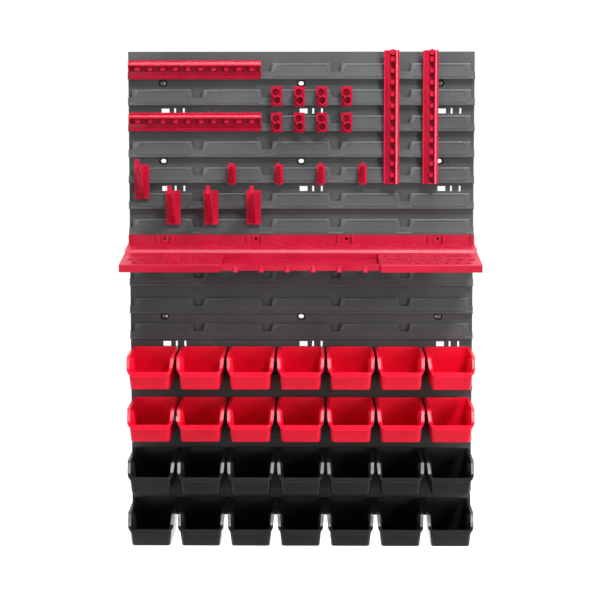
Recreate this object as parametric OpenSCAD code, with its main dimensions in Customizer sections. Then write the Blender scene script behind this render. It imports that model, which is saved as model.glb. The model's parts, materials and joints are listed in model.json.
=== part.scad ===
// Louvred tool wall: two moulded panels with hook rails, a deep tool tray, tool rails,
// spring clips, hooks and storage bins that all hang on the panels' upturned lips.
// Millimetres. X runs along the wall, Z is up, and the front faces -Y.
// The origin is on the wall plane, at the centre of the field of wall screws.

/* [Panels] */
// Width of each panel
panel_w = 576; // [460:1:700]
// Louvre rows in each panel
panel_rows = 9; // [9:1:12]
// Height of one louvre row
row_h = 43; // [38:0.5:52]
// Plain margin above the first row
panel_margin = 3; // [2:0.5:10]
// Moulded wall thickness
panel_wall = 2; // [1.6:0.1:2.4]
// Depth from the wall plane to the recessed strips
strip_d = 9; // [8:0.5:12]
// Depth from the wall plane to the lowest edge of a louvre
plate_d = 18; // [17:0.5:24]
// Height of a louvre, from its bottom edge to the top of its lip
plate_h = 26; // [24:0.5:28]
// Thickness of the upturned lip at its top edge
lip_t = 2; // [1.6:0.1:3]
// Width of the channel behind the lip
channel_w = 3.6; // [3.4:0.1:5]
// Depth of the channel behind the lip
channel_h = 13; // [11:0.5:15]
// Number of louvre fields between the notches
fields = 5; // [4:1:6]
// Gap between the two panels
seam = 0.6; // [0.2:0.1:2]

/* [Fixing holes] */
// Drop from the second row's top edge to the first row of fixing holes
hole_inset = 6; // [5.5:0.5:8]
// Length of a fixing slot
slot_len = 9; // [8:0.5:10]
// Width of a fixing slot
slot_w = 6.5; // [6:0.1:7]
// Radius of the wall screw's shank
screw_r = 2.25; // [1.75:0.05:2.4]
// Radius of the wall screw's head
screw_head_r = 4.2; // [4:0.1:4.4]
// Height of the wall screw's head
screw_head_h = 2.2; // [1.8:0.1:2.3]
// Length of the wall screw under its head
screw_len = 45; // [30:1:60]

/* [Hanging fit] */
// Clearance between a hung piece and the panel
fit_gap = 0.3; // [0.2:0.05:0.4]
// Clearance between a hook's tongue and the back of the lip
tongue_gap = 0.5; // [0.4:0.1:0.6]
// Thickness of a hook's tongue and of the web over the lip
tongue_t = 2.2; // [1.8:0.1:2.3]
// How far a tongue reaches down behind the lip
tongue_h = 9; // [6:0.5:10]

/* [Bins] */
// Width of a bin over its rim
bin_w = 78; // [70:0.5:80]
// Distance between neighbouring bins
bin_pitch = 81.4; // [80.5:0.1:90]
// Height of a bin's back wall
bin_h = 58; // [50:0.5:64]
// Depth of a bin over its front lip
bin_depth = 105; // [90:1:130]
// Wall thickness of a bin
bin_wall = 2; // [1.5:0.1:2.6]
// Width of the rim that stands out from the bin's side
bin_rim = 3; // [2:0.5:4]
// Height of a bin's back edge over the lip that it hangs on
bin_rise = 4.5; // [4:0.5:6]
// How far the bottom narrows on each side
bin_taper = 4.5; // [2:0.5:8]
// Bins in one row
bin_count = 7; // [5:1:7]

/* [Tool tray] */
// Width of the tray
tray_w = 577; // [460:1:700]
// Depth of the tray in front of the panels
tray_depth = 120; // [100:1:150]
// Sheet thickness of the tray
tray_t = 2.2; // [1.8:0.1:3]
// Half width of the open tub in the middle
tub_half = 128; // [100:1:160]
// Depth of the open tub
tub_depth = 9; // [5:0.5:12]

/* [Tool rails] */
// Length of a tool rail
rail_len = 220; // [180:1:260]
// Width of the arched body of a tool rail
rail_w = 25; // [22:0.5:28]
// Depth of a tool rail in front of its back plate
rail_rise = 12; // [10:0.5:16]
// Teeth in a tool rail
rail_teeth = 10; // [8:1:12]

/* [Clips and hooks] */
// Width of a spring clip
clip_w = 18; // [16:0.5:22]
// Height of a clip or small hook
clip_h = 33; // [31:0.5:36]
// Reach of the small hooks
small_reach = 24; // [18:1:35]
// Width of a small hook
small_w = 14; // [12:0.5:18]
// Reach of the large hooks
large_reach = 62; // [45:1:80]
// Width of a large hook
large_w = 24.5; // [22:0.5:30]
// Height of a large hook
large_h = 57; // [52:1:64]

/* [Hidden] */
BIN_ROWS = 4;
RAILS = 2;
CLIP_ROWS = 2;
CLIPS = 4;
HOOKS = 4;
TRAY_HANGERS = 4;
rail_rows = [1, 3];
large_row = [5, 6, 6, 6];
tray_row = 8;

$fn = 48;
eps = 0.01;

panel_color = "#5c5d5e";
red = "#d9142f";
black = "#1b1b1c";
steel = "#9a9a98";

// Panels: heights and depths that everything hung on them shares
panel_h = panel_margin + panel_rows * row_h;
panel_pitch = panel_h + seam;
field_w = panel_w / fields;
lip_back = strip_d + channel_w;
lip_front = lip_back + lip_t;
channel_floor = plate_h - channel_h;
hole_pitch = 3 * row_h;
hole_x = 2 * field_w;
hole_drop = panel_margin + row_h + hole_inset;
// Fixing slots: recess of the collar's face, and the width and depth of the groove around the collar
ring_d = 1.6;
collar_w = 0.8;
groove_w = 2.2;
groove_drop = 6;
upper_top = hole_drop + (panel_pitch + 2 * hole_pitch) / 2;
lower_top = upper_top - panel_pitch;
face_d = plate_d + fit_gap;
// From under a screw's head to the wall plane
screw_in = strip_d - ring_d;
// Places of the hung pieces along the wall: the tool rails start at the left end, the clips share
// the room between them and the first upright rail, and the rest go by shares of the wall's width
rail_x = (rail_len - panel_w) / 2 + 2;
upright_x = [for (u = [0.2595, 0.3715]) u * panel_w];
clips_from = rail_x + rail_len / 2;
clips_room = upright_x[0] - rail_w / 2 - clips_from;
clip_x = [for (u = [0.123, 0.31, 0.493, 0.697]) clips_from + u * clips_room];
small_x = [for (u = [-0.2, -0.0642, 0.0573, 0.1771]) u * panel_w];
large_x = [for (u = [-0.4609, -0.3707, -0.2613, -0.138]) u * panel_w];
// Notches in the lips: width at the top and at the channel floor, and of the half notch at each end
notch_top = 21;
notch_bottom = 15;
edge_notch = 7;
// Groove along a tool rail: its lower and upper edge from the rail's middle, and its floor's depth
groove_low = -3;
groove_high = 6;
groove_d = 2.5;
tooth_gap = 1.2;
// Back plates of hooks and clips: thickness, and how far they stand over the lip
plate_t = 2.4;
plate_rise = 5;
// Jaws of a spring clip: wall, and reach in front of the clip's plate
jaw_wall = 2;
jaw_reach = 10;

function row_bottom(top, row) = top - panel_margin - row * row_h;
function lip_z(top, row) = row_bottom(top, row) + plate_h;
function hole_z(top, i) = top - hole_drop - i * hole_pitch;
// Front face of a louvre at height h over its bottom edge
function louvre_d(h) = plate_d - (plate_d - lip_front) * h / plate_h;

// A side outline, drawn as [depth, height] and carried across the width w
module across(w) rotate([90, 0, -90]) linear_extrude(height = w, center = true) children();

// A front outline, drawn as [x, z] and carried from depth d0 out to depth d1
module facing(d0, d1) translate([0, -d0, 0]) rotate([90, 0, 0])
    linear_extrude(height = d1 - d0) children();

// A block from depth d0 to d1, centred on x, between two heights
module block(x, w, d0, d1, z0, z1) translate([x - w / 2, -d1, z0]) cube([w, d1 - d0, z1 - z0]);

// A horizontal slot of the given length and width, through from depth d0 to d1
module slot(x, z, length, width, d0, d1) {
    span = length - width;
    for (s = [-1, 1]) translate([x + s * span / 2, -d0, z]) rotate([90, 0, 0])
        cylinder(h = d1 - d0, d = width);
    block(x, span, d0, d1, z - width / 2, z + width / 2);
}

// ---------------------------------------------------------------- panels

// One louvre row's front outline, from its top down, standing on height b
function row_outline(b) = [
    [strip_d, b + row_h],
    [strip_d, b + channel_floor],
    [lip_back, b + channel_floor],
    [lip_back, b + plate_h - 0.6],
    [lip_back + 0.6, b + plate_h],
    [lip_front - 0.4, b + plate_h],
    [lip_front, b + plate_h - 0.8],
    [louvre_d(4) - 0.4, b + 4.4],
    [louvre_d(4) + 0.3, b + 3.6],
    [plate_d, b + 1],
    [plate_d - 0.6, b]
];

// The hollow behind one row
function row_hollow(b) = [
    [strip_d - panel_wall, b + channel_floor - panel_wall],
    [louvre_d(channel_floor) - panel_wall - 0.4, b + channel_floor - panel_wall],
    [plate_d - panel_wall - 0.6, b + panel_wall],
    [strip_d - panel_wall, b + panel_wall]
];

function rows_from(top, outline) =
    [for (r = [1:panel_rows]) for (p = (outline ? row_outline(row_bottom(top, r))
        : row_hollow(row_bottom(top, r)))) p];

module panel_shell(top) {
    bottom = top - panel_h;
    across(panel_w) polygon(concat([[0, top], [strip_d, top]], rows_from(top, true), [[0, bottom]]));
}

module panel_hollow(top, x, w) {
    bottom = top - panel_h;
    in_d = strip_d - panel_wall;
    translate([x, 0, 0]) across(w) polygon(concat(
        [[-1, top - panel_wall], [in_d, top - panel_wall]],
        rows_from(top, false),
        [[in_d, bottom + panel_wall], [-1, bottom + panel_wall]]));
}

// Notch in a lip, down to the channel floor; edge notches are cut only on one side
module notch(x, z_lip, top_w, bottom_w) {
    facing(strip_d + eps, plate_d + 2) polygon([
        [x - top_w / 2, z_lip + 1], [x - top_w / 2, z_lip - 0.5],
        [x - bottom_w / 2, z_lip - channel_h], [x + bottom_w / 2, z_lip - channel_h],
        [x + top_w / 2, z_lip - 0.5], [x + top_w / 2, z_lip + 1]]);
}

// Shallow field pressed into a louvre's face, between two notches
module louvre_field(x, b) {
    top_half = (field_w - notch_bottom) / 2 - 5;
    low_half = top_half - 5;
    sunk = 0.8;
    z1 = plate_h - 3;
    z0 = plate_h - 15;
    intersection() {
        translate([x, 0, b]) across(field_w) polygon([
            [louvre_d(z1) - sunk, z1], [louvre_d(z1) + 3, z1],
            [louvre_d(z0) + 3, z0], [louvre_d(z0) - sunk, z0]]);
        facing(lip_back, plate_d + 2) polygon([
            [x - low_half, b + z1 + 1], [x + low_half, b + z1 + 1],
            [x + top_half, b + z0 - 1], [x - top_half, b + z0 - 1]]);
    }
    // fine line under the field
    z2 = plate_h - 21.5;
    translate([x, 0, b]) across(2 * top_half) polygon([
        [louvre_d(z2) - sunk, z2], [louvre_d(z2) + 3, z2],
        [louvre_d(z2) + 3, z2 - 0.9], [louvre_d(z2) - sunk, z2 - 0.9]]);
}

// A wall panel; rows lists which rows of fixing slots are open
module panel(top, rows) {
    collar = 2 * collar_w;
    ring = collar + 2 * groove_w;
    boss_w = slot_len + ring + 2 * panel_wall;
    boss_h = slot_w + ring + 2 * panel_wall;
    difference() {
        union() {
            difference() {
                panel_shell(top);
                for (i = [0:fields - 1])
                    panel_hollow(top, (i - (fields - 1) / 2) * field_w, field_w - panel_wall * 2);
            }
            // bosses behind the fixing slots, which reach back to the wall
            for (i = rows, x = [-hole_x, 0, hole_x])
                block(x, boss_w, 0, strip_d - eps, hole_z(top, i) - boss_h / 2, hole_z(top, i) + boss_h / 2);
            // level ribs across the back, under the louvres
            for (r = [3, 6]) block(0, panel_w - 2, 0, strip_d - eps,
                row_bottom(top, r) - 1, row_bottom(top, r) + 1);
        }
        for (i = rows, x = [-hole_x, 0, hole_x]) {
            slot(x, hole_z(top, i), slot_len, slot_w, -1, strip_d + 1);
            slot(x, hole_z(top, i), slot_len + collar, slot_w + collar, strip_d - ring_d, strip_d + 1);
            difference() {
                slot(x, hole_z(top, i), slot_len + ring, slot_w + ring, strip_d - groove_drop, strip_d + 1);
                slot(x, hole_z(top, i), slot_len + collar, slot_w + collar, 0, strip_d + 2);
            }
        }
        for (r = [1:panel_rows]) {
            for (i = [1:fields - 1])
                notch((i - fields / 2) * field_w, lip_z(top, r), notch_top, notch_bottom);
            for (s = [-1, 1])
                notch(s * panel_w / 2, lip_z(top, r), 2 * edge_notch, 2 * edge_notch - 2);
            for (i = [0:fields - 1])
                louvre_field((i - (fields - 1) / 2) * field_w, row_bottom(top, r));
        }
        // small engraved circle in the strip over the third row's louvre
        translate([-1.33 * field_w, 0.5 - strip_d, row_bottom(top, 3) + plate_h + 8.5]) rotate([90, 0, 0])
            difference() {
                cylinder(h = 2, d = 12);
                translate([0, 0, -1]) cylinder(h = 4, d = 10);
            }
        // vents and slits in the strips of every third row
        for (r = [3, 6], i = [0, 2, 4]) {
            x = (i - 2) * field_w;
            z = row_bottom(top, r) + plate_h + 8;
            block(x + 4, 13, 0, strip_d + 1, z - 4, z + 4);
            for (dx = [20, 34.5]) block(x + dx, 3, 0, strip_d + 1, z - 4.5, z + 4.5);
        }
    }
}

// Wood screws in the outer columns of the first and last rows of fixing slots
module wall_screws(top) color(steel) for (i = [0, 2], x = [-hole_x, hole_x])
    translate([x, -(strip_d - ring_d), hole_z(top, i)]) rotate([-90, 0, 0]) {
        // pan head, seated in the slot's recess, with a cross recess
        difference() {
            union() {
                translate([0, 0, 1 - screw_head_h]) cylinder(h = screw_head_h - 1, r = screw_head_r);
                translate([0, 0, -screw_head_h]) cylinder(h = 1, r1 = screw_head_r * 0.62, r2 = screw_head_r);
            }
            for (a = [0, 90]) rotate([0, 0, a])
                translate([-0.5, -screw_head_r * 0.5, -screw_head_h - 1]) cube([1, screw_head_r, 1.8]);
        }
        // thinner neck through the panel, thread in the wall, and point
        translate([0, 0, -0.2]) cylinder(h = screw_in + 1, r = screw_r - 0.35);
        translate([0, 0, screw_in]) cylinder(h = screw_len - 6 - screw_in, r = screw_r);
        translate([0, 0, screw_len - 6.2]) cylinder(h = 6, r1 = screw_r, r2 = 0.3);
    }

// ---------------------------------------------------------------- hanging

// Web over a lip and the tongue behind it, as a side outline. The lip's top is at z_lip,
// and the web runs forward to depth d1.
module hanger(x, w, z_lip, d1) {
    t1 = lip_back - tongue_gap;
    t0 = t1 - tongue_t;
    base = z_lip + fit_gap;
    translate([x, 0, 0]) across(w) polygon([
        [t0, base - tongue_h], [t0 + 0.6, base - tongue_h - 0.6], [t1, base - tongue_h],
        [t1, base], [d1, base], [d1, base + tongue_t], [t0 + 1, base + tongue_t],
        [t0, base + tongue_t - 1]]);
}

// Back plate of a hung piece, with rounded bottom corners
module back_plate(x, w, z0, z1, t, r = 3) {
    facing(face_d, face_d + t) {
        translate([x - w / 2, z0 + r]) square([w, z1 - z0 - 2 * r + 1]);
        translate([x - w / 2 + r, z0]) square([w - 2 * r, z1 - z0]);
        for (s = [-1, 1]) {
            translate([x + s * (w / 2 - r), z0 + r]) circle(r = r);
            translate([x + s * (w / 2 - r / 2), z1 - r / 2]) circle(r = r / 2);
            translate([x + s * (w / 2 - r / 2) - r / 2, z1 - r - 1]) square([r, r / 2 + 1]);
        }
    }
}

// ---------------------------------------------------------------- bins

bin_front_s = bin_depth - 3.5;
bin_front_foot = bin_front_s - 8.5;
bin_kink_s = bin_depth * 0.78;
bin_kink_v = -5;
bin_lip_v = -28;
bin_band = 8;

// Depth of the front wall's outer face at height v under the back edge
function bin_front(v) = bin_front_s - (bin_front_s - bin_front_foot) * (bin_lip_v - v) / (bin_lip_v + bin_h);

module bin_body() {
    half = bin_w / 2 - bin_rim;
    intersection() {
        across(bin_w) polygon([[0, 0], [bin_kink_s, bin_kink_v], [bin_front_s, bin_lip_v],
            [bin_front(-bin_h), -bin_h], [0, -bin_h]]);
        facing(-1, bin_depth + 1) polygon([[-half, 1], [half, 1], [half - bin_taper, -bin_h - eps],
            [-half + bin_taper, -bin_h - eps]]);
    }
}

module bin_cavity() {
    half = bin_w / 2 - bin_rim - bin_wall;
    floor_v = -bin_h + bin_wall;
    intersection() {
        across(bin_w) polygon([[bin_wall, 6], [bin_front(6) - bin_wall * 1.04, 6],
            [bin_front(floor_v) - bin_wall * 1.04, floor_v], [bin_wall, floor_v]]);
        facing(-1, bin_depth + 12) polygon([[-half, 7], [half, 7],
            [half - bin_taper, floor_v - eps], [-half + bin_taper, floor_v - eps]]);
    }
}

module bin_rim_band() {
    t = 2.4;
    across(bin_w) polygon([[0, 0], [bin_kink_s, bin_kink_v], [bin_depth, bin_lip_v],
        [bin_depth, bin_lip_v - t], [bin_front_s - 0.5, bin_lip_v - t],
        [bin_kink_s - 1, bin_kink_v - t], [0, -t]]);
    // front band, with its lower corners cut off
    facing(bin_front_s - 1.5, bin_depth) polygon([[-bin_w / 2, bin_lip_v], [bin_w / 2, bin_lip_v],
        [bin_w / 2, bin_lip_v - bin_band + 4], [bin_w / 2 - 4, bin_lip_v - bin_band],
        [-bin_w / 2 + 4, bin_lip_v - bin_band], [-bin_w / 2, bin_lip_v - bin_band + 4]]);
}

// Stacking ribs inside the side walls, stepped down towards the front
module bin_ribs() {
    half = bin_w / 2 - bin_rim - bin_wall;
    for (s = [-1, 1], i = [0:2]) {
        at = bin_kink_s - 6 - i * 10;
        translate([s * (half - 0.5), -at, -30]) cube([3.4, 3, 50 - 4 * i], center = true);
    }
}

module storage_bin(row, col) color(row > 2 ? black : red) {
    z = lip_z(lower_top, 2 * row + 1) + bin_rise;
    x = (col - (bin_count + 1) / 2) * bin_pitch;
    union() {
        translate([x, -face_d, z]) difference() {
            union() {
                difference() {
                    union() { bin_body(); bin_rim_band(); }
                    bin_cavity();
                }
                intersection() { bin_ribs(); bin_body(); }
            }
            // label groove along the front band
            block(0, bin_w - 20, bin_depth - 0.5, bin_depth + 1, bin_lip_v - 5, bin_lip_v - 4.2);
        }
        hanger(x, bin_w * 0.7, lip_z(lower_top, 2 * row + 1), face_d + 1);
    }
}

// ---------------------------------------------------------------- tool rails

// Cross-section with a rounded hood over a groove and a sloping band under it, as [depth, height]
module rail_section() {
    hood_r = 8;
    half = rail_w / 2;
    // band, with a bead along its foot
    polygon([[-1, -half], [2.2, -half], [2.8, 0.6 - half], [2.8, 1.4 - half], [2, 2.4 - half],
        [rail_rise - 4.5, groove_low], [-1, groove_low]]);
    // floor of the groove
    translate([-1, groove_low - eps]) square([1 + groove_d, groove_high - groove_low + 2 * eps]);
    // hood
    translate([-1, groove_high]) square([1 + rail_rise - hood_r, half - groove_high]);
    intersection() {
        translate([rail_rise - hood_r, groove_high]) circle(r = hood_r, $fn = 96);
        translate([-1, groove_high]) square([rail_rise + 1, half - groove_high]);
    }
}

// The rail's body, along X and centred, in front of a back plate whose face is at depth 0
module rail_body(teeth) {
    pitch = (rail_len - 10) / teeth;
    across(rail_len) rail_section();
    for (i = [0:teeth - 1]) {
        w = 8 - 1.6 * abs(sin(i * 67));
        block((i - (teeth - 1) / 2) * pitch, w, groove_d - 0.5, rail_rise - 3,
            groove_low + tooth_gap, groove_high - tooth_gap);
    }
    // closed ends
    for (s = [-1, 1])
        block(s * (rail_len / 2 - 1), 2, groove_d - 0.5, rail_rise - 4, groove_low - 0.2, groove_high + 0.2);
}

module tool_rail(i) color(red) {
    z_lip = lip_z(upper_top, rail_rows[i - 1]);
    z1 = z_lip + plate_rise;
    z0 = z_lip - plate_h;
    mid = (z0 + z1) / 2 - 0.5;
    back_plate(rail_x, rail_len, z0, z1, tray_t, 4);
    translate([rail_x, -face_d - tray_t + 1, mid]) rail_body(rail_teeth);
    for (dx = [-0.42, -0.14, 0.14, 0.42]) hanger(rail_x + dx * rail_len, 22, z_lip, face_d + 1);
}

// The same kind of rail hung upright
module upright_rail(i) color(red) {
    x = upright_x[i - 1];
    z1 = upper_top + 1;
    back_plate(x, rail_w, z1 - rail_len, z1, tray_t, 2);
    translate([x, -face_d - tray_t + 1, z1 - rail_len / 2]) rotate([0, 90, 0]) rail_body(rail_teeth + 1);
    // rounded hump over the top end
    translate([x + (groove_low + groove_high) / 2, -face_d - tray_t + 1.5, z1 - 3]) rotate([90, 0, 0])
        cylinder(h = rail_rise - 3, r = (groove_high - groove_low) / 2 + 0.3);
    // a hanger on every second lip that the rail covers
    for (r = [1:2:panel_rows]) if (lip_z(upper_top, r) > z1 - rail_len + tongue_h + 4)
        hanger(x, rail_w - 6, lip_z(upper_top, r), face_d + 1);
}

// ---------------------------------------------------------------- clips and hooks

// Clip with two jaws drawn as an S seen from the front: the upper one opens to the right, the lower
// one to the left
module spring_clip(r, c) color(red) {
    x = clip_x[c - 1];
    z_lip = lip_z(upper_top, r + 1);
    z1 = z_lip + plate_rise;
    mid = z1 - clip_h / 2;
    jaw_r = clip_h / 4 - 0.6;
    face = face_d + plate_t;
    back_plate(x, clip_w, z1 - clip_h, z1, plate_t);
    for (s = [-1, 1]) difference() {
        translate([x - s, -face + 1, mid + s * (jaw_r - jaw_wall / 2)]) rotate([90, 0, 0])
            cylinder(h = jaw_reach + 1, r = jaw_r);
        translate([x - s, -face + 2, mid + s * (jaw_r - jaw_wall / 2)]) rotate([90, 0, 0])
            cylinder(h = jaw_reach + 4, r = jaw_r - jaw_wall);
        block(x - s + s * (jaw_r / 2 + 2), jaw_r, face - 2, face + jaw_reach + 1,
            mid + s * (jaw_r - jaw_wall / 2) - jaw_r / 2, mid + s * (jaw_r - jaw_wall / 2) + jaw_r / 2);
    }
    // small post in each jaw's mouth, and a bar along the foot
    for (s = [-1, 1]) translate([x + s * (clip_w / 2 - 3), -face + 1, mid + s * (jaw_r - jaw_wall / 2)])
        rotate([90, 0, 0]) cylinder(h = jaw_reach / 2 + 1, r = 1.4);
    block(x, clip_w - 5, face - 1, face + 1.2, z1 - clip_h + 0.8, z1 - clip_h + 2.4);
    hanger(x, clip_w - 4, z_lip, face_d + 1);
}

// A hook with a blade that rises to an upturned tip: reach, and heights over the plate's foot
module hook(x, z_lip, w, h, reach, blade, tip_h, tip_rise) {
    z1 = z_lip + plate_rise;
    z0 = z1 - h;
    out = face_d + plate_t;
    back_plate(x, w, z0, z1, plate_t);
    translate([x, 0, 0]) across(blade) polygon([
        [out - 1, z0 + 3],
        [out + 2.5, z0 + 4],
        [out + reach - 3, z1 + tip_rise - tip_h],
        [out + reach, z1 + tip_rise - tip_h + 2],
        [out + reach, z1 + tip_rise - 1],
        [out + reach - 1, z1 + tip_rise],
        [out + reach - tip_h * 0.35, z1 + tip_rise],
        [out + reach - tip_h * 0.6, z1 + tip_rise - tip_h * 0.42],
        [out + 5, z1 - 6],
        [out - 1, z1 - 3]]);
    hanger(x, w - 4, z_lip, face_d + 1);
}

module small_hook(i) color(red)
    hook(small_x[i - 1], lip_z(upper_top, 5), small_w, clip_h, small_reach, 5, 8, 3);

module large_hook(i) color(red)
    hook(large_x[i - 1], lip_z(upper_top, large_row[i - 1]), large_w, large_h, large_reach, 6.5, 15, 9);

// ---------------------------------------------------------------- tool tray

tray_lip = lip_z(upper_top, tray_row);
tray_top = tray_lip + row_h - plate_h;
hanger_pitch = tray_w * 0.262;
window_w = 15;
tray_end = face_d + tray_depth;
// The shelf in front of the trough: where it starts, its height there, its fall, and its front face
shelf_d = face_d + 50;
shelf_z = -27;
shelf_slope = 14;
skirt = 12;
end_zone = tray_w / 2 - tub_half;
// How far the tub's front stands back from the tray's front face
tub_set = 4;
tub_d0 = shelf_d + 6;
tub_d1 = tray_end - tub_set - tray_t;

// Height of the tray's top face at depth d, under the tray's top edge
function tray_z(d) = d < face_d + 46
    ? -13.6 - 8.4 * (d - face_d - 3) / 43
    : shelf_z - shelf_slope * (d - shelf_d) / (tray_end - shelf_d);

// Place in an end zone of the shelf: u runs from the tray's end to the tub, v from the trough to the front
function zone_x(u) = tray_w / 2 - u * end_zone;
function shelf_at(v) = shelf_d + v * (tray_end - shelf_d);

module tray_sheet() {
    t = tray_t;
    f = face_d;
    across(tray_w) polygon([
        [f, 0], [f + 2.6, 0], [f + 3, -13.6], [f + 46, -22], [shelf_d, shelf_z],
        [tray_end - 1, shelf_z - shelf_slope], [tray_end, shelf_z - shelf_slope - 1],
        [tray_end, shelf_z - shelf_slope - skirt], [tray_end - t, shelf_z - shelf_slope - skirt],
        [tray_end - t, shelf_z - shelf_slope - t], [shelf_d - 1, shelf_z - t],
        [f + 45, -22 - t], [f, -13.6 - t]]);
}

// End cheeks and gussets under the sheet, each reaching back to the louvres
module tray_gusset(x, w, d1) {
    f = face_d;
    translate([x, 0, 0]) across(w) polygon([
        [f, -10], [f + 3, -14.5], [f + 46, -22.9], [shelf_d, shelf_z - 0.9], [d1, tray_z(d1) - 0.9],
        [d1, tray_z(d1) - skirt * 0.8], [f + 40, -48], [f, -52]]);
}

// Graded drill holes in three rows, with one long slot at the end of two of them
module tray_holes(s) {
    for (i = [0:9]) translate([s * zone_x(0.134 + 0.11 * i - 0.0022 * i * (i - 1)), -shelf_at(0.83), -60])
        cylinder(h = 60, d = 8.5 - 0.5 * i);
    for (i = [0:5]) translate([s * zone_x(0.084 + 0.124 * i), -shelf_at(0.56), -60])
        cylinder(h = 60, d = 10 - 0.6 * i);
    for (i = [0:4]) translate([s * zone_x(0.45 + 0.124 * i), -shelf_at(0.26), -60])
        cylinder(h = 60, d = 9 - 0.4 * i);
    block(s * zone_x(0.86), 0.15 * end_zone, shelf_at(0.56) - 3, shelf_at(0.56) + 3, -60, 0);
    block(s * zone_x(0.21), 0.26 * end_zone, shelf_at(0.26) - 3, shelf_at(0.26) + 3, -60, 0);
}

// Long openings along the trough, between the hangers, as [place, length] in half tray widths
module tray_trough_slots() {
    half = tray_w / 2;
    for (s = [-1, 1], p = [[0.95, 0.07], [0.7, 0.07], [0.6, 0.04], [0.41, 0.15], [0.17, 0.06], [0.075, 0.06]])
        block(s * p[0] * half, p[1] * half, face_d + 8, face_d + 19, -32, -8);
    for (s = [-1, 1], p = [[0.88, 0.12], [0.64, 0.14], [0.35, 0.06], [0.1, 0.05]])
        block(s * p[0] * half, p[1] * half, face_d + 26, face_d + 34, -34, -10);
}

module tool_tray() color(red) translate([0, 0, tray_top]) {
    foot = shelf_z - shelf_slope - skirt;
    difference() {
        union() {
            // sheet with its stiffening, cut back along the tub
            difference() {
                union() {
                    tray_sheet();
                    for (s = [-1, 1]) {
                        tray_gusset(s * (tray_w / 2 - tray_t / 2), tray_t, tray_end - 1);
                        tray_gusset(s * (tub_half + 20), tray_t, tray_end - 1);
                        // small upright ribs at the ends of the back plate
                        block(s * (tray_w / 2 - 5), 3, face_d + 1, face_d + 5, -14.5, -1);
                    }
                    tray_gusset(0, tray_t, tub_d0 - 6);
                }
                block(0, 2 * tub_half, tray_end - tub_set, tray_end + 1, -80, 5);
            }
            // tub under the middle of the shelf
            across(2 * tub_half) polygon([
                [tub_d0 - tray_t, tray_z(tub_d0) - 1], [tub_d1 + tray_t, tray_z(tub_d1) - 1],
                [tub_d1 + tray_t, foot + 2.5], [tub_d1, foot + 2.5],
                [tub_d1, tray_z(tub_d1) - tub_depth - tray_t],
                [tub_d0 - tray_t, tray_z(tub_d0) - tub_depth - tray_t]]);
            for (x = [-5, -3, -1, 1, 3, 5]) translate([x * tub_half / 6.2, 0, 0]) tray_rib();
            for (i = [1:TRAY_HANGERS], s = [-1, 1])
                block(hanger_x(i) + s * (window_w / 2 + 4.5), 7, face_d + 1, face_d + 5.5, -16, -0.5);
        }
        // inside of the tub, open above
        across(2 * tub_half - 2 * tray_t) polygon([
            [tub_d0, 5], [tub_d0, tray_z(tub_d0) - tub_depth],
            [tub_d1, tray_z(tub_d1) - tub_depth], [tub_d1, 5]]);
        for (s = [-1, 1]) tray_holes(s);
        tray_trough_slots();
        for (i = [1:TRAY_HANGERS]) block(hanger_x(i), window_w, face_d - 1, face_d + 6, -18.5, -2);
    }
}

// Tapered rib on the tub's front wall
module tray_rib() {
    z1 = shelf_z - shelf_slope - 1;
    z0 = z1 + 1 - skirt;
    d0 = tray_end - tub_set;
    intersection() {
        facing(d0 - 1, tray_end) polygon([[-1.2, z1], [1.2, z1], [3.8, z0], [-3.8, z0]]);
        across(10) polygon([[d0 - 1, z1], [d0 + 0.8, z1], [tray_end - eps, z0 + 1], [tray_end - eps, z0],
            [d0 - 1, z0]]);
    }
}

function hanger_x(i) = (i - (TRAY_HANGERS + 1) / 2) * hanger_pitch;

// Separate hanger that hooks over the lip, fills a window in the tray's back plate, and bears
// against the back of that plate with an ear on each side
module tray_hanger(i) color(red) {
    w = window_w - 2 * fit_gap;
    difference() {
        union() {
            block(hanger_x(i), w, face_d, face_d + 2.6, tray_lip + 2.8, tray_top - 2 - fit_gap);
            block(hanger_x(i), window_w + 8, face_d - 2.2, face_d, tray_lip + 2.5, tray_lip + 7);
            block(hanger_x(i), w, face_d - 2.2, face_d + 1, tray_lip + 1, tray_lip + 7);
            hanger(hanger_x(i), w, tray_lip, face_d + 1);
        }
        // finger hole
        block(hanger_x(i), w / 3, face_d - 3, face_d + 4, tray_top - 8.5, tray_top - 4.5);
    }
}

// ---------------------------------------------------------------- assembly

color(panel_color) panel(upper_top, [0, 1, 2]);  // panel_upper
color(panel_color) panel(lower_top, [0, 2]);  // panel_lower
wall_screws(upper_top);  // wall_screws_upper
wall_screws(lower_top);  // wall_screws_lower
tool_tray();
for (i = [1:TRAY_HANGERS]) tray_hanger(i);
for (i = [1:RAILS]) tool_rail(i);
for (i = [1:RAILS]) upright_rail(i);
for (r = [1:CLIP_ROWS], c = [1:CLIPS])
    spring_clip(r, c);
for (i = [1:HOOKS]) small_hook(i);
for (i = [1:HOOKS]) large_hook(i);
for (r = [1:BIN_ROWS], c = [1:bin_count])
    storage_bin(r, c);
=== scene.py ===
"""Looks of the louvred tool wall: moulded panels, hung bins, tray, rails, clips and hooks."""

import json
import math
from functools import cache

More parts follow.
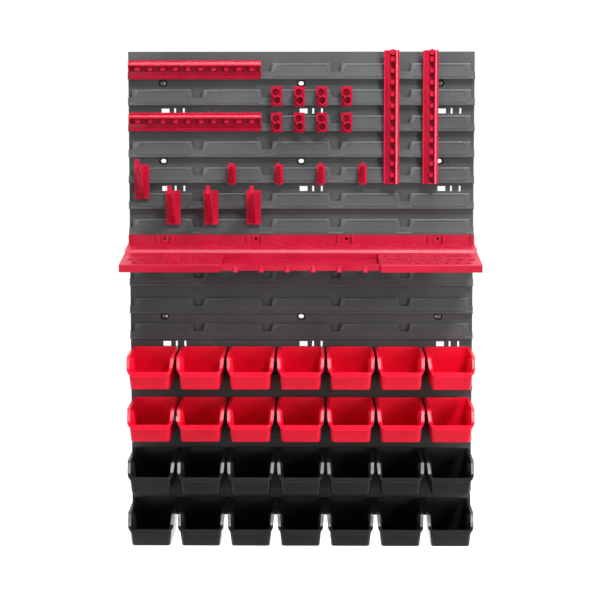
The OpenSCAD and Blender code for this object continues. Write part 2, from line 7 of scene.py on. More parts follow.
import bmesh
import bpy
from bpy.props import FloatProperty, FloatVectorProperty, PointerProperty
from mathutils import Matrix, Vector

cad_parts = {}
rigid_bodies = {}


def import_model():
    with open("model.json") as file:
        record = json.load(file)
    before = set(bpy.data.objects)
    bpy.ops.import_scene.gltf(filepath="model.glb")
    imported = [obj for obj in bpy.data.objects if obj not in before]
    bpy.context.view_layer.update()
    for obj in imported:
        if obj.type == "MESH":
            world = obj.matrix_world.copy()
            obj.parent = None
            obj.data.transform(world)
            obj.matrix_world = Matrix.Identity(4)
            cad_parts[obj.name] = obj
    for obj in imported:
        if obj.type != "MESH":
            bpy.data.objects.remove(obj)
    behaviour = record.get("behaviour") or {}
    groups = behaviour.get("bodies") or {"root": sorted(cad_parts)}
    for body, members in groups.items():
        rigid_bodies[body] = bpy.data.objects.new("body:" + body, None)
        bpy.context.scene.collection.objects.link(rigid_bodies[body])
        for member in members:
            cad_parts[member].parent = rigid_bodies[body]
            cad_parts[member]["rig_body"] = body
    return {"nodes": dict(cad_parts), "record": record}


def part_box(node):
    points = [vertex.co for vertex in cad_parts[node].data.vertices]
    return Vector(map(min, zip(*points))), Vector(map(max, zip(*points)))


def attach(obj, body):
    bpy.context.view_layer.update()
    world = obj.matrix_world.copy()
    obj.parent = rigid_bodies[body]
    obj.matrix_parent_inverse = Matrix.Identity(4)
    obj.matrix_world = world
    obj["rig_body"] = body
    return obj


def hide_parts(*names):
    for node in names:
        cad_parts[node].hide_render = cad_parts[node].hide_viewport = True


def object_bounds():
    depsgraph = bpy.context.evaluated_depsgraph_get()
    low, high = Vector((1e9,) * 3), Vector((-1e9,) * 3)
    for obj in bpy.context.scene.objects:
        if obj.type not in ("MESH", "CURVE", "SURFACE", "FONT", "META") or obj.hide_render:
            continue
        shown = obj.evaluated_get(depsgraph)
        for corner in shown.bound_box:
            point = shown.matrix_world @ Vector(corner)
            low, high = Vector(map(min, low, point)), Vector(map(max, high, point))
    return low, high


bl_info = {
    "name": "Louvred Tool Wall",
    "version": (1, 0, 0),
    "blender": (4, 5, 0),
    "location": "View3D > Sidebar > Tool Wall",
    "description": "Finishes a louvred tool wall with its bins, tray, rails, clips and hooks",
    "category": "Object",
}

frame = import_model()
NODES = frame["nodes"]
CAD_BOX = [list(corner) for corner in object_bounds()]
MM = 0.001

# Louvre fields between a panel's notches, and the vents' places right of every second field's middle
PANEL_FIELDS = 5
PANEL_VENTS = (4.0, 20.0, 34.5)

# Rows of holes behind the tray's front, and rows of slots in front of its back, in millimetres
TRAY_HOLE_ROWS = (11.9, 30.8, 51.8)
TRAY_SLOT_ROWS = (14.0, 30.0)

# Bin shape, in millimetres, with the heights as drops under the bin's back edge. The kink's place is a
# share of the depth, and the groove's heights are drops under the rim of the front band
BIN_WALL = 2.0
BIN_RIM = 3.0
BIN_TAPER = 4.5
BIN_KINK = 0.78
BIN_KINK_DROP = 5.0
BIN_KINK_ROUND = 3.0
BIN_FRONT_RIM = 3.5
BIN_FRONT_RAKE = 8.5
BIN_LIP_DROP = 28.0
BIN_BAND = 8.0
BIN_EDGE = 2.6
BIN_FRONT_CORNER = 6.0
BIN_FRONT_STEPS = 5
BIN_BACK_CORNER = 2.4
BIN_BACK_STEPS = 3
BIN_FOOT_ROUND = 2.5
BIN_GROOVE_DEPTH = 0.8
BIN_GROOVE_LOW = 4.6
BIN_GROOVE_HIGH = 3.4
BIN_GROOVE_ROOM = 0.6
BIN_GROOVE_END = 7.5

# Share of a bin's depth where its sides start to lean in with the raked front, and how much further they
# are all the way in
BIN_RAKE_START = 0.55
BIN_RAKE_RUN = 0.4

# Stacking ribs inside a bin, in millimetres: their number, spacing, step down and half widths
RIB_COUNT = 3
RIB_PITCH = 10.0
RIB_FROM_KINK = 6.0
RIB_STEP = 3.0
RIB_ROOT = 0.7
RIB_ROOT_HALF = 1.7
RIB_FACE_HALF = 1.3

# A bin's tongue: its side outline as (forward, up) points from the top of the back, in millimetres, and
# half its length as a share of the bin's width
BIN_TONGUE_BACK = 8.4
BIN_TONGUE = (
    (-BIN_TONGUE_BACK, -13.2),
    (-7.8, -13.8),
    (-6.2, -13.2),
    (-6.2, -4.2),
    (1.0, -4.2),
    (1.0, -2.0),
    (-7.4, -2.0),
    (-BIN_TONGUE_BACK, -3.0),
)
BIN_TONGUE_HALF = 0.35

# Faces that meet at less than the first angle are one flat, and edges over the second are rounded
FLAT_ANGLE = math.radians(0.5)
SHARP_ANGLE = math.radians(32)

# Roundings of the smallest pieces
SCREW_EDGE = 0.2 * MM
HANGER_EDGE = 0.3 * MM

# Softboxes, in metres and watts: name, place, aim from the object's middle, width, height, power
SOFTBOXES = (
    ("key_softbox", (0.85, -1.35, 1.75), (0.1, 0.0, 0.1), 0.45, 0.45, 46.0),
    ("top_softbox", (0.1, -0.68, 1.4), (0.0, -0.1, -0.1), 1.5, 0.35, 22.0),
    ("side_softbox", (1.7, -1.9, 0.3), (0.0, 0.0, 0.0), 0.9, 1.2, 40.0),
    ("left_softbox", (-1.7, -1.9, 0.3), (0.0, 0.0, 0.0), 0.9, 1.2, 16.0),
)
SUN_PLACE = (0.0, 2.0, 4.0)
SUN_TARGET = (0.0, 0.2, 0.0)
SUN_STRENGTH = 2.9

# Floor, in metres: how far it runs to the sides and the front, and behind
FLOOR_REACH = 30.0
FLOOR_BACK = 60.0

# Camera: width of the sensor in millimetres, focal length as a multiple of it, and upright shift
SENSOR = 36.0
FOCAL_RATIO = 2.2617
LENS_SHIFT = -0.06


def linear(colour):
    """Linear red, green and blue of an sRGB hex colour."""
    channels = [int(colour[i : i + 2], 16) / 255 for i in (1, 3, 5)]
    return [c / 12.92 if c <= 0.04045 else ((c + 0.055) / 1.055) ** 2.4 for c in channels]


# ---------------------------------------------------------------- settings


class WallColours(bpy.types.PropertyGroup):
    """Colours of the plastics."""

    panel: FloatVectorProperty(
        name="Panel",
        description="Grey of the wall panels",
        subtype="COLOR",
        default=linear("#47484a"),
    )
    panel_shade: FloatVectorProperty(
        name="Panel shade",
        description="Darker clouding of the panels",
        subtype="COLOR",
        default=linear("#3b3c3d"),
    )
    bin_red: FloatVectorProperty(
        name="Bin red",
        description="Red of the bins",
        subtype="COLOR",
        default=linear("#ee0530"),
    )
    tray_red: FloatVectorProperty(
        name="Tray red",
        description="Red of the tray",
        subtype="COLOR",
        default=linear("#a30429"),
    )
    holder_red: FloatVectorProperty(
        name="Holder red",
        description="Red of the rails, clips and hooks",
        subtype="COLOR",
        default=linear("#a8052a"),
    )
    black: FloatVectorProperty(
        name="Black",
        description="Black of the lower bins",
        subtype="COLOR",
        default=linear("#1e1e20"),
    )


class WallSizes(bpy.types.PropertyGroup):
    """Sizes of the small roundings and of the moulded grain."""

    panel_edge: FloatProperty(
        name="Panel edge",
        description="Rounding of the panels' edges",
        default=0.5 * MM,
        min=0.0,
        unit="LENGTH",
    )
    holder_edge: FloatProperty(
        name="Holder edge",
        description="Rounding of the hung pieces' edges",
        default=0.6 * MM,
        min=0.0,
        unit="LENGTH",
    )
    bin_edge: FloatProperty(
        name="Bin edge",
        description="Rounding of the bins' rims",
        default=0.5 * MM,
        min=0.0,
        unit="LENGTH",
    )
    grain: FloatProperty(
        name="Grain",
        description="Size of the moulded grain",
        default=1.1 * MM,
        min=0.1 * MM,
        unit="LENGTH",
    )


class WallStage(bpy.types.PropertyGroup):
    """Camera, floor and lights."""

    camera_away: FloatProperty(
        name="Camera distance",
        description="From the wall plane to the camera",
        default=2.2832,
        unit="LENGTH",
    )
    camera_right: FloatProperty(
        name="Camera right",
        description="Camera right of the screws' centre",
        default=0.0232,
        unit="LENGTH",
    )
    camera_up: FloatProperty(
        name="Camera up",
        description="Camera over the screws' centre",
        default=0.2028,
        unit="LENGTH",
    )
    camera_tilt: FloatProperty(
        name="Camera tilt",
        description="Downward tilt",
        default=0.0791,
        subtype="ANGLE",
        unit="ROTATION",
    )
    camera_turn: FloatProperty(
        name="Camera turn",
        description="Turn to the right",
        default=-0.0111,
        subtype="ANGLE",
        unit="ROTATION",
    )
    floor_drop: FloatProperty(
        name="Floor drop",
        description="Floor under the lowest bins",
        default=0.25,
        unit="LENGTH",
    )


def colours():
    return bpy.context.scene.wall_colours


def sizes():
    return bpy.context.scene.wall_sizes


# ---------------------------------------------------------------- materials


# Sockets of a Mix node that mixes colours
MIX_FACTOR, MIX_A, MIX_B, MIX_COLOUR = 0, 6, 7, 2


def add(tree, kind, links=None, values=None, **settings):
    """Adds a node with its settings, its sockets' values and the outputs that feed it."""
    made = tree.nodes.new(kind)
    for name, value in settings.items():
        setattr(made, name, value)
    for name, value in (values or {}).items():
        made.inputs[name].default_value = value
    for name, output in (links or {}).items():
        tree.links.new(output, made.inputs[name])
    return made


def moulded(name, light, dark, roughness, grain_height, clouds=90.0, highlight_lift=1.6):
    """Injection-moulded plastic: slow flow clouding in the colour, painted highlights as a paler colour on
    convex edges, uneven gloss and a fine grain. grain_height and clouds are in millimetres, and the last
    argument is how much paler the painted edge highlight is."""
    material = bpy.data.materials.new(name)
    material.use_nodes = True
    tree = material.node_tree
    tree.nodes.clear()
    place = add(tree, "ShaderNodeTexCoord").outputs["Object"]
    cloud = add(tree, "ShaderNodeTexNoise", {"Vector": place}, {"Scale": 1 / (clouds * MM), "Detail": 4.0})
    spread = add(
        tree, "ShaderNodeMapRange", {"Value": cloud.outputs["Fac"]}, {"From Min": 0.32, "From Max": 0.68}
    )
    tint = add(
        tree,
        "ShaderNodeMix",
        {MIX_FACTOR: spread.outputs["Result"]},
        {MIX_A: list(dark) + [1.0], MIX_B: list(light) + [1.0]},
        data_type="RGBA",
    )
    # painted highlight: convex edges, found by pointiness, are mixed towards a paler colour
    convex = add(tree, "ShaderNodeNewGeometry").outputs["Pointiness"]
    edge = add(
        tree, "ShaderNodeMapRange", {"Value": convex}, {"From Min": 0.52, "From Max": 0.64, "To Max": 0.4}
    )
    highlight_colour = [min(1.0, c * highlight_lift + 0.01) for c in light] + [1.0]
    highlighted_tint = add(
        tree,
        "ShaderNodeMix",
        {MIX_FACTOR: edge.outputs["Result"], MIX_A: tint.outputs[MIX_COLOUR]},
        {MIX_B: highlight_colour},
        data_type="RGBA",
    )
    gloss = add(
        tree,
        "ShaderNodeMapRange",
        {"Value": cloud.outputs["Fac"]},
        {"From Min": 0.3, "From Max": 0.7, "To Min": roughness - 0.05, "To Max": roughness + 0.06},
    )
    grain = add(
        tree, "ShaderNodeTexNoise", {"Vector": place}, {"Scale": 1 / sizes().grain, "Detail": 2.0}
    )
    bump = add(
        tree,
        "ShaderNodeBump",
        {"Height": grain.outputs["Fac"]},
        {"Strength": 0.6, "Distance": grain_height * MM},
    )
    shader = add(
        tree,
        "ShaderNodeBsdfPrincipled",
        {
            "Base Color": highlighted_tint.outputs[MIX_COLOUR],
            "Roughness": gloss.outputs["Result"],
            "Normal": bump.outputs["Normal"],
        },
        {"IOR": 1.46},
    )
    add(tree, "ShaderNodeOutputMaterial", {"Surface": shader.outputs["BSDF"]})
    return material


def panel_polypropylene():
    """Grey polypropylene, moulded with a satin texture: a broad soft sheen, with painted highlights as pale
    lines on the lips' edges.
    """
    grey, shade = colours().panel, colours().panel_shade
    return moulded("grey_polypropylene_satin", grey, shade, 0.38, 0.05, 160.0, 2.2)


def bin_polypropylene():
    """Red polypropylene from a polished mould: saturated, with clear but soft highlights."""
    shade = [c * 0.86 for c in colours().bin_red]
    return moulded("red_polypropylene_gloss", colours().bin_red, shade, 0.3, 0.03, 70.0, 1.25)


def tray_polypropylene():
    """Deeper red polypropylene with flow marks: the broad sheet shows faint clouding and a soft sheen."""
    shade = [c * 0.9 for c in colours().tray_red]
    return moulded("deep_red_polypropylene_satin", colours().tray_red, shade, 0.34, 0.05, 45.0, 1.5)


def holder_polypropylene():
    """Tough red polypropylene: its narrow edges catch the light and carry painted highlights as pale lines
    in the colour.
    """
    shade = [c * 0.82 for c in colours().holder_red]
    return moulded("red_polypropylene_satin", colours().holder_red, shade, 0.27, 0.03, 30.0, 1.7)


def black_polypropylene():
    """Black polypropylene from a polished mould: nearly black, and lit only by its highlights."""
    shade = [c * 0.7 for c in colours().black]
    return moulded("black_polypropylene_gloss", colours().black, shade, 0.2, 0.03, 70.0, 1.5)


def zinc_steel():
    """Steel screws, zinc plated and tumbled: grey metal with fine scratches that blur its highlights."""
    material = bpy.data.materials.new("steel_zinc_plated")
    material.use_nodes = True
    tree = material.node_tree
    tree.nodes.clear()
    place = add(tree, "ShaderNodeTexCoord").outputs["Object"]
    spangle = add(tree, "ShaderNodeTexNoise", {"Vector": place}, {"Scale": 1 / (1.5 * MM), "Detail": 3.0})
    tint = add(
        tree,
        "ShaderNodeMix",
        {MIX_FACTOR: spangle.outputs["Fac"]},
        {MIX_A: linear("#6a6a68") + [1.0], MIX_B: linear("#8d8d8a") + [1.0]},
        data_type="RGBA",
    )
    scratch = add(
        tree, "ShaderNodeMapRange", {"Value": spangle.outputs["Fac"]}, {"To Min": 0.28, "To Max": 0.5}
    )
    shader = add(
        tree,
        "ShaderNodeBsdfPrincipled",
        {"Base Color": tint.outputs[MIX_COLOUR], "Roughness": scratch.outputs["Result"]},
        {"Metallic": 1.0},
    )
    add(tree, "ShaderNodeOutputMaterial", {"Surface": shader.outputs["BSDF"]})
    return material


MATERIALS = {
    "panel_plastic": panel_polypropylene,
    "screw_steel": zinc_steel,
    "tray_plastic": tray_polypropylene,
    "holder_plastic": holder_polypropylene,
    "bin_red": bin_polypropylene,
    "bin_black": black_polypropylene,
}


@cache
def finish_for(slot):
    """The material of a record slot, made once."""
    return MATERIALS[slot]()


# ---------------------------------------------------------------- pieces


def named(*starts):
    """Names of the CAD nodes that begin with one of these words, in order."""
    return sorted(name for name in NODES if name.startswith(starts))


def slot_of(name):
    """Material slot that the record gives a CAD node."""
    return next(part["material_slot"] for part in frame["record"]["subparts"] if part["node"] == name)


def place_piece(mesh, name, body, slot, stands_for):
    """Makes an object of a mesh, rides it on its body and puts it in place of its CAD nodes."""
    piece = bpy.data.objects.new(name, mesh)
    bpy.context.scene.collection.objects.link(piece)
    mesh.materials.clear()
    mesh.materials.append(finish_for(slot))
    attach(piece, body)
    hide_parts(*stands_for)
    return piece


def round_edges(piece, width):
    """Rounds a piece's edges and keeps its flats flat."""
    bevel = piece.modifiers.new("edge_round", "BEVEL")
    bevel.width = width
    bevel.segments = 2
    bevel.limit_method = "ANGLE"
    bevel.angle_limit = SHARP_ANGLE
    bevel.use_clamp_overlap = True
    bevel.harden_normals = True
    bevel.miter_outer = "MITER_ARC"
    normals = piece.modifiers.new("flat_flats", "WEIGHTED_NORMAL")
    normals.keep_sharp = True
    normals.weight = 80


def join_flats(work, borders=()):
    """Joins the triangles of each flat into one face, up to borders of the given kinds."""
    bmesh.ops.dissolve_limit(
        work,
        angle_limit=FLAT_ANGLE,
        verts=work.verts,
        edges=work.edges,
        use_dissolve_boundaries=False,
        delimit=set(borders),
    )


def softened(name, width, cuts=()):
    """Stands for a CAD node by a copy of its mesh with its triangles joined into flats and edges rounded.

    cuts are (axis, place) planes through its openings, so that no flat has a hole in it."""
    mesh = NODES[name].data.copy()
    mesh.name = name + "_moulding"
    work = bmesh.new()
    work.from_mesh(mesh)
    bmesh.ops.remove_doubles(work, verts=work.verts, dist=2e-6)
    join_flats(work)
    bmesh.ops.triangulate(work, faces=work.faces)
    for axis, place in cuts:
        way = Vector([float(axis == k) for k in range(3)])
        parts = work.verts[:] + work.edges[:] + work.faces[:]
        cut = bmesh.ops.bisect_plane(work, geom=parts, dist=1e-6, plane_co=way * place, plane_no=way)
        for element in cut["geom_cut"]:
            if isinstance(element, bmesh.types.BMEdge) and len(element.link_faces) == 2:
                element.seam = element.calc_face_angle(0.0) < FLAT_ANGLE
    join_flats(work, {"SEAM"})
    bmesh.ops.recalc_face_normals(work, faces=work.faces)
    work.to_mesh(mesh)
    work.free()
    mesh.shade_smooth()
    mesh.set_sharp_from_angle(angle=SHARP_ANGLE)
    piece = place_piece(mesh, name + "_moulding", NODES[name]["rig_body"], slot_of(name), [name])
    round_edges(piece, width)


def prism(work, outline, x0, x1):
    """Adds a side outline of (depth, height) points, carried along X from x0 to x1."""
    left = [work.verts.new((x0, -s, v)) for s, v in outline]
    right = [work.verts.new((x1, -s, v)) for s, v in outline]
    work.faces.new(left)
    work.faces.new(right[::-1])
    for i in range(len(outline)):
        j = (i + 1) % len(outline)
        work.faces.new((left[j], left[i], right[i], right[j]))


# ---------------------------------------------------------------- panels and tray


def panel_cuts(name):
    """Upright planes through a panel's fields, fixing slots, vents and slits."""
    low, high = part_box(name)
    field = (high.x - low.x) / PANEL_FIELDS
    middles = [(i - (PANEL_FIELDS - 1) / 2) * field for i in range(PANEL_FIELDS)]
    vents = [x + shift * MM for x in middles[::2] for shift in PANEL_VENTS]
    return [(0, x) for x in middles + vents]


def tray_cuts():
    """Planes through the tray's rows of holes and slots, and upright ones through its windows."""
    low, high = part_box("tool_tray")
    holes = [low.y + back * MM for back in TRAY_HOLE_ROWS]
    slots = [high.y - out * MM for out in TRAY_SLOT_ROWS]
    windows = [sum(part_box(name)[k].x for k in (0, 1)) / 2 for name in named("tray_hanger_")]
    return [(1, y) for y in holes + slots] + [(0, x) for x in windows]


# ---------------------------------------------------------------- bins


def rim_drop(s, depth):
    """Height of a bin's rim at distance s from its back: level, then a rounded kink, then steep."""
    kink = BIN_KINK * depth
    front = depth - BIN_FRONT_RIM
    level = -BIN_KINK_DROP * s / kink
    steep = -BIN_KINK_DROP - (BIN_LIP_DROP - BIN_KINK_DROP) * (s - kink) / (front - kink)
    mix = min(1.0, max(0.0, 0.5 + 0.5 * (level - steep) / BIN_KINK_ROUND))
    return level + (steep - level) * mix - BIN_KINK_ROUND * mix * (1 - mix)


def bin_columns(half, depth):
    """Upright lines around a bin, as (x, s, normal x, normal s, rim width, rim height, groove)."""
    front = depth - BIN_FRONT_RIM
    kink = BIN_KINK * depth
    columns = []
    for x in (0.0, half * 0.45, half - BIN_BACK_CORNER):
        columns.append((x, 0.0, 0.0, -1.0, 0.0, BIN_EDGE, 0.0))
    for step in range(1, BIN_BACK_STEPS):
        turn = math.radians(90 - 90 / BIN_BACK_STEPS * step)
        x = half - BIN_BACK_CORNER * (1 - math.cos(turn))
        s = BIN_BACK_CORNER * (1 - math.sin(turn))
        columns.append((x, s, math.cos(turn), -math.sin(turn), 0.0, BIN_EDGE, 0.0))
    # along a side: far apart where the rim is straight, and close together round its kink
    stations = [BIN_BACK_CORNER, 0.3 * kink, 0.6 * kink, kink - 8]
    stations += [kink + step for step in (-5, -3.5, -2, -0.5, 1, 2.5, 4)]
    stations += [0.5 * (kink + 4 + front - BIN_FRONT_CORNER), front - BIN_FRONT_CORNER]
    for s in stations:
        columns.append((half, s, 1.0, 0.0, BIN_RIM, BIN_EDGE, 0.0))
    for step in range(1, BIN_FRONT_STEPS):
        turn = math.radians(90 / BIN_FRONT_STEPS * step)
        x = half - BIN_FRONT_CORNER * (1 - math.cos(turn))
        s = front - BIN_FRONT_CORNER * (1 - math.sin(turn))
        rise = step / BIN_FRONT_STEPS
        band = BIN_EDGE + (BIN_BAND - 2.5 - BIN_EDGE) * rise
        width = BIN_RIM + (BIN_FRONT_RIM - BIN_RIM) * rise
        columns.append((x, s, math.cos(turn), math.sin(turn), width, band, 0.0))
    groove_end = half - BIN_GROOVE_END
    for x, band, groove in (
        (half - BIN_FRONT_CORNER, BIN_BAND - 1.5, 0.0),
        (groove_end + 0.4, BIN_BAND, 0.0),
        (groove_end, BIN_BAND, BIN_GROOVE_DEPTH),
        (half * 0.4, BIN_BAND, BIN_GROOVE_DEPTH),
    ):
        columns.append((x, front, 0.0, 1.0, BIN_FRONT_RIM, band, groove))
    return columns + [(-x, s, -nx, ns, w, h, g) for x, s, nx, ns, w, h, g in columns[:0:-1]]


def bin_profile(width, height, groove):
    """Outline of a bin's wall from the foot, over the rim and down inside to the floor.

    Its points are (what the height is taken from, height, distance outwards)."""
    foot = BIN_FOOT_ROUND
    curve = 1 - math.sqrt(0.5)
    outside = [("floor", 0.0, -foot), ("floor", foot * curve, -foot * curve), ("floor", foot, 0.0)]
    low = -min(BIN_GROOVE_LOW, height - BIN_GROOVE_ROOM)
    high = -min(BIN_GROOVE_HIGH, height - 2 * BIN_GROOVE_ROOM)
    rim = [("top", -height, 0.0), ("top", -height, width)]
    rim += [("top", low, width), ("top", low, width - groove)]
    rim += [("top", high, width - groove), ("top", high, width)]
    rim += [("top", 0.0, width), ("top", 0.0, -BIN_WALL)]
    inner = foot - 0.5
    inside = [
        ("floor", BIN_WALL + inner, -BIN_WALL),
        ("floor", BIN_WALL + inner * curve, -BIN_WALL - inner * curve),
        ("floor", BIN_WALL, -BIN_WALL - inner),
    ]
    return outside + rim + inside


def bin_point(column, height, top, half, depth, reference, up, out):
    """A point of a bin's wall, narrowed towards the foot and raked at the front."""
    x, s, nx, ns = column[:4]
    v = (top if reference == "top" else -height) + up
    narrow = (half - BIN_TAPER * -v / height) / half
    front = depth - BIN_FRONT_RIM
    upright = reference == "top" and out > 0.0
    below = 0.0 if upright else max(0.0, -BIN_LIP_DROP - v) / (height - BIN_LIP_DROP)
    share = min(1.0, max(0.0, (s / front - BIN_RAKE_START) / BIN_RAKE_RUN))
    return Vector((x * narrow + nx * out, -(s - BIN_FRONT_RAKE * below * share + ns * out), v))


def bin_ribs(work, half, depth, height):
    """Upright stacking ribs on the inside of both sides, stepped down towards the back."""
    for side in (-1, 1):
        for i in range(RIB_COUNT):
            s = BIN_KINK * depth - RIB_FROM_KINK - RIB_PITCH * i
            top = rim_drop(s, depth) - RIB_STEP - RIB_STEP * i
            foot = -height + BIN_WALL + 1.0 + RIB_STEP * i
            inner_top = half - BIN_WALL - BIN_TAPER * -top / height
            inner_foot = half - BIN_WALL - BIN_TAPER * -foot / height
            ring = []
            for v, wall, proud in (
                (foot, inner_foot, 0.4),
                (foot + 6, inner_foot, 2.4),
                (top - 4, inner_top, 3.0),
                (top - 1, inner_top, 2.4),
                (top, inner_top, 0.5),
            ):
                corners = (
                    (wall + RIB_ROOT, s - RIB_ROOT_HALF),
                    (wall - proud, s - RIB_FACE_HALF),
                    (wall - proud, s + RIB_FACE_HALF),
                    (wall + RIB_ROOT, s + RIB_ROOT_HALF),
                )
                ring.append([work.verts.new((side * x, -t, v)) for x, t in corners])
            for low, high in zip(ring, ring[1:]):
                for k in range(4):
                    m = (k + 1) % 4
                    work.faces.new((low[k], low[m], high[m], high[k]))
            work.faces.new(ring[0][::-1])
            work.faces.new(ring[-1])


def bin_mesh(name):
    """Mesh of one bin: a rounded tub with a flanged rim, a grooved front band, ribs and its tongue."""
    low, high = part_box(name)
    width, height = (high.x - low.x) / MM, (high.z - low.z) / MM
    depth = (high.y - low.y) / MM - BIN_TONGUE_BACK
    half = width / 2 - BIN_RIM
    columns = bin_columns(half, depth)
    work = bmesh.new()
    rings = []
    for column in columns:
        top = max(rim_drop(column[1], depth), -BIN_LIP_DROP)
        profile = bin_profile(column[4], column[5], column[6])
        rings.append(
            [work.verts.new(bin_point(column, height, top, half, depth, *step)) for step in profile]
        )
    count = len(rings)
    for i in range(count):
        here, there = rings[i], rings[(i + 1) % count]
        for k in range(len(here) - 1):
            work.faces.new((here[k], there[k], there[k + 1], here[k + 1]))
    work.faces.new([ring[0] for ring in rings][::-1])
    work.faces.new([ring[-1] for ring in rings])
    bmesh.ops.remove_doubles(work, verts=work.verts, dist=0.02)
    bmesh.ops.dissolve_degenerate(work, edges=work.edges, dist=0.02)
    bin_ribs(work, half, depth, height)
    prism(work, BIN_TONGUE, -BIN_TONGUE_HALF * width, BIN_TONGUE_HALF * width)
    bmesh.ops.recalc_face_normals(work, faces=work.faces)
    bmesh.ops.scale(work, vec=Vector((MM, MM, MM)), verts=work.verts)
    centre = Vector(((low.x + high.x) / 2, low.y + depth * MM, high.z))
    bmesh.ops.translate(work, vec=centre, verts=work.verts)
    mesh = bpy.data.meshes.new(name + "_tub")
    work.to_mesh(mesh)
    work.free()
    mesh.shade_smooth()
    mesh.set_sharp_from_angle(angle=SHARP_ANGLE)
    return mesh


# ---------------------------------------------------------------- stage


def aim(thing, target):
    """Turns a light so that it points at a place."""
    thing.rotation_euler = (target - thing.location).to_track_quat("-Z", "Y").to_euler()


def softbox(name, place, target, width, height, power):
    """A rectangular studio light."""
    lamp = bpy.data.lights.new(name, "AREA")
    lamp.shape = "RECTANGLE"
    lamp.size = width
    lamp.size_y = height
    lamp.energy = power
    light = bpy.data.objects.new(name, lamp)
    light.location = place
    bpy.context.scene.collection.objects.link(light)
    aim(light, target)


def back_sun():
    """A low soft sun from behind that whitens the floor and misses the object's front."""
    lamp = bpy.data.lights.new("floor_light", "SUN")
    lamp.energy = SUN_STRENGTH
    lamp.angle = math.radians(12)
    light = bpy.data.objects.new("floor_light", lamp)
    light.location = SUN_PLACE
    bpy.context.scene.collection.objects.link(light)
    aim(light, Vector(SUN_TARGET))


def studio_world():
    """A studio that is white behind the object and dim in front of it, so that colours stay deep."""
    world = bpy.data.worlds.new("studio")
    bpy.context.scene.world = world
    world.use_nodes = True
    tree = world.node_tree
    tree.nodes.clear()
    way = add(tree, "ShaderNodeTexCoord").outputs["Generated"]
    split = add(tree, "ShaderNodeSeparateXYZ", {"Vector": way})
    back = add(
        tree,
        "ShaderNodeMapRange",
        {"Value": split.outputs["Y"]},
        {"From Min": 0.55, "From Max": 0.92, "To Min": 0.16, "To Max": 1.05},
    )
    glow = add(tree, "ShaderNodeBackground", {"Strength": back.outputs["Result"]}, {"Color": (1, 1, 1, 1)})
    add(tree, "ShaderNodeOutputWorld", {"Surface": glow.outputs["Background"]})


def floor_paint():
    """Matt studio floor: white behind the object, with painted shade turning it grey in front, so that it
    throws no glare up.
    """
    material = bpy.data.materials.new("studio_floor_white_painted_shade_front")
    material.use_nodes = True
    tree = material.node_tree
    tree.nodes.clear()
    place = add(tree, "ShaderNodeTexCoord").outputs["Object"]
    split = add(tree, "ShaderNodeSeparateXYZ", {"Vector": place})
    # painted shade: the floor's colour goes from white at the back to grey in front
    shade = add(
        tree,
        "ShaderNodeMapRange",
        {"Value": split.outputs["Y"]},
        {"From Min": -0.5, "From Max": 0.08},
        interpolation_type="SMOOTHSTEP",
    )
    tint = add(
        tree,
        "ShaderNodeMix",
        {MIX_FACTOR: shade.outputs["Result"]},
        {MIX_A: linear("#808080") + [1.0], MIX_B: linear("#fafafa") + [1.0]},
        data_type="RGBA",
    )
    shader = add(
        tree,
        "ShaderNodeBsdfPrincipled",
        {"Base Color": tint.outputs[MIX_COLOUR]},
        {"Roughness": 0.9, "Specular IOR Level": 0.1},
    )
    add(tree, "ShaderNodeOutputMaterial", {"Surface": shader.outputs["BSDF"]})
    return material


def studio_floor(level):
    """A wide floor that runs far back behind the object."""
    mesh = bpy.data.meshes.new("studio_floor")
    corners = [
        (-FLOOR_REACH, -FLOOR_REACH, level),
        (FLOOR_REACH, -FLOOR_REACH, level),
        (FLOOR_REACH, FLOOR_BACK, level),
        (-FLOOR_REACH, FLOOR_BACK, level),
    ]
    mesh.from_pydata(corners, [], [(0, 1, 2, 3)])
    mesh.materials.append(floor_paint())
    floor = bpy.data.objects.new("studio_floor", mesh)
    bpy.context.scene.collection.objects.link(floor)


# ---------------------------------------------------------------- operators


class TOOLWALL_OT_panels(bpy.types.Operator):
    """Rounds the edges of both wall panels and gives them their satin grey"""

    bl_idname = "toolwall.panels"
    bl_label = "Wall Panels"

    def execute(self, context):
        for name in named("panel_"):
            softened(name, sizes().panel_edge, panel_cuts(name))
        return {"FINISHED"}


class TOOLWALL_OT_screws(bpy.types.Operator):
    """Finishes the wall screws in plated steel"""

    bl_idname = "toolwall.screws"
    bl_label = "Wall Screws"

    def execute(self, context):
        for name in named("wall_screws_"):
            softened(name, SCREW_EDGE)
        return {"FINISHED"}


class TOOLWALL_OT_bins(bpy.types.Operator):
    """Makes the hung bins, with flanged rims, grooved front bands and stacking ribs"""

    bl_idname = "toolwall.bins"
    bl_label = "Bins"

    def execute(self, context):
        for name in named("bin_"):
            body = NODES[name]["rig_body"]
            piece = place_piece(bin_mesh(name), name + "_tub", body, slot_of(name), [name])
            round_edges(piece, sizes().bin_edge)
        return {"FINISHED"}


class TOOLWALL_OT_tray(bpy.types.Operator):
    """Finishes the tool tray and its hangers"""

    bl_idname = "toolwall.tray"
    bl_label = "Tool Tray"

    def execute(self, context):
        softened("tool_tray", sizes().holder_edge, tray_cuts())
        for name in named("tray_hanger_"):
            low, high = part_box(name)
            softened(name, HANGER_EDGE, [(0, (low.x + high.x) / 2)])
        return {"FINISHED"}


class TOOLWALL_OT_rails(bpy.types.Operator):
    """Finishes the level and upright tool rails"""

    bl_idname = "toolwall.rails"
    bl_label = "Tool Rails"

    def execute(self, context):
        for name in named("tool_rail_", "upright_rail_"):
            softened(name, sizes().holder_edge)
        return {"FINISHED"}


class TOOLWALL_OT_holders(bpy.types.Operator):
    """Finishes the spring clips and the hooks"""

    bl_idname = "toolwall.holders"
    bl_label = "Clips and Hooks"

    def execute(self, context):
        for name in named("spring_clip_", "small_hook_", "large_hook_"):
            softened(name, sizes().holder_edge)
        return {"FINISHED"}


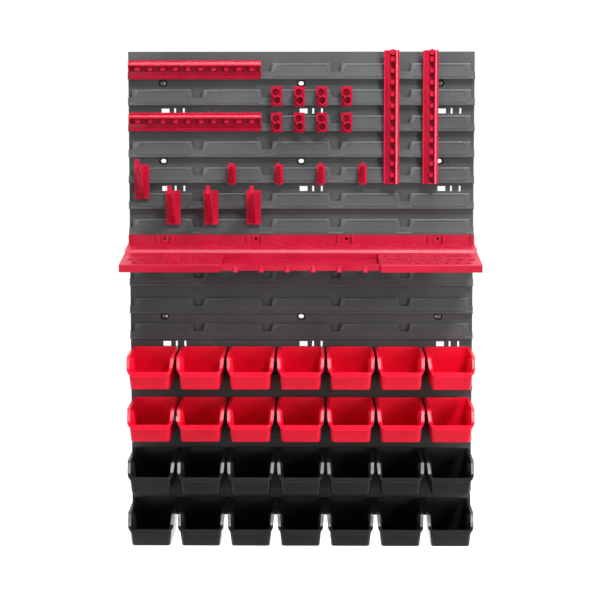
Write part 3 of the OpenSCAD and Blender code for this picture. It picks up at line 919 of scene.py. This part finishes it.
class TOOLWALL_OT_stage(bpy.types.Operator):
    """Makes the floor, the lights and the camera"""

    bl_idname = "toolwall.stage"
    bl_label = "Stage"

    def execute(self, context):
        scene = context.scene
        stage = scene.wall_stage
        low, high = (Vector(corner) for corner in CAD_BOX)
        middle = (low + high) / 2
        studio_world()
        studio_floor(low.z - stage.floor_drop)
        for name, place, shift, width, height, power in SOFTBOXES:
            softbox(name, Vector(place), middle + Vector(shift), width, height, power)
        back_sun()
        scene.view_settings.view_transform = "Standard"
        lens = bpy.data.cameras.new("camera")
        lens.sensor_width = SENSOR
        lens.lens = SENSOR * FOCAL_RATIO
        lens.shift_y = LENS_SHIFT
        camera = bpy.data.objects.new("camera", lens)
        camera.location = (stage.camera_right, -stage.camera_away, stage.camera_up)
        camera.rotation_euler = (math.radians(90) - stage.camera_tilt, 0.0, -stage.camera_turn)
        scene.collection.objects.link(camera)
        scene.camera = camera
        return {"FINISHED"}


class TOOLWALL_PT_sidebar(bpy.types.Panel):
    """Lists the pieces of the tool wall"""

    bl_idname = "TOOLWALL_PT_sidebar"
    bl_label = "Tool Wall"
    bl_space_type = "VIEW_3D"
    bl_region_type = "UI"
    bl_category = "Tool Wall"

    def draw(self, context):
        layout = self.layout
        for group in (context.scene.wall_sizes, context.scene.wall_colours, context.scene.wall_stage):
            box = layout.box()
            for name in group.__annotations__:
                box.prop(group, name)
        for operator in OPERATORS:
            layout.operator(operator.bl_idname)


OPERATORS = (
    TOOLWALL_OT_panels,
    TOOLWALL_OT_screws,
    TOOLWALL_OT_bins,
    TOOLWALL_OT_tray,
    TOOLWALL_OT_rails,
    TOOLWALL_OT_holders,
    TOOLWALL_OT_stage,
)
CLASSES = (WallColours, WallSizes, WallStage, *OPERATORS, TOOLWALL_PT_sidebar)


def register():
    for cls in CLASSES:
        bpy.utils.register_class(cls)
    bpy.types.Scene.wall_colours = PointerProperty(type=WallColours)
    bpy.types.Scene.wall_sizes = PointerProperty(type=WallSizes)
    bpy.types.Scene.wall_stage = PointerProperty(type=WallStage)


def unregister():
    del bpy.types.Scene.wall_stage
    del bpy.types.Scene.wall_sizes
    del bpy.types.Scene.wall_colours
    for cls in reversed(CLASSES):
        bpy.utils.unregister_class(cls)


def main():
    register()
    bpy.ops.toolwall.panels()
    bpy.ops.toolwall.screws()
    bpy.ops.toolwall.bins()
    bpy.ops.toolwall.tray()
    bpy.ops.toolwall.rails()
    bpy.ops.toolwall.holders()
    bpy.ops.toolwall.stage()


if __name__ == "__main__":
    main()
